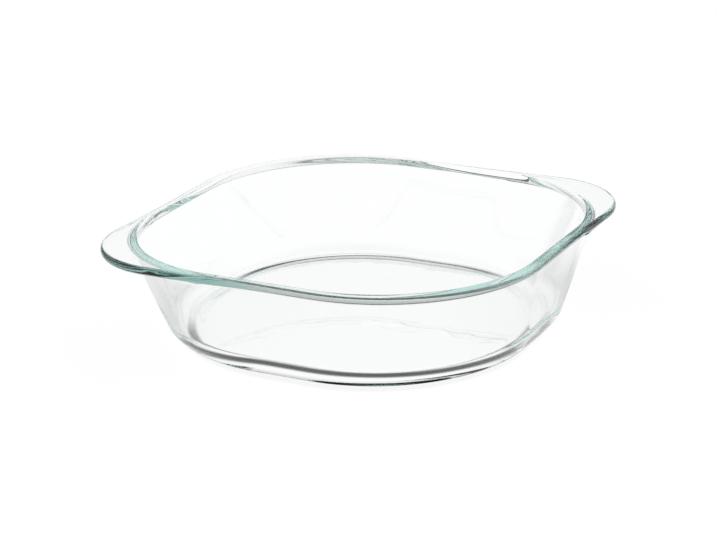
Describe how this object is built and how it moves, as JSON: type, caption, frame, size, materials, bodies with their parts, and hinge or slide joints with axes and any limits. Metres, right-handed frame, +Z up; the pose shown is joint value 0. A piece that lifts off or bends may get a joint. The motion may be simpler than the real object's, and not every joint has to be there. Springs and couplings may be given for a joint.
{
  "type": "baking dish",
  "caption": "Rounded-square baking dish of clear pressed glass, with flared walls, a flat rim and a handle wing at each of two opposite corners.",
  "frame": {"origin": "on the table, under the middle of the dish", "axes": "+Z up out of the bowl, +X towards one handle, +Y towards a plain corner"},
  "size_m": [0.3052, 0.27, 0.0595],
  "materials": {
    "glass": "clear pressed glass, fire-polished, with a faint blue-green tint where it is seen edge-on"
  },
  "bodies": {
    "root": {"dish": "glass"}
  },
  "joints": []
}
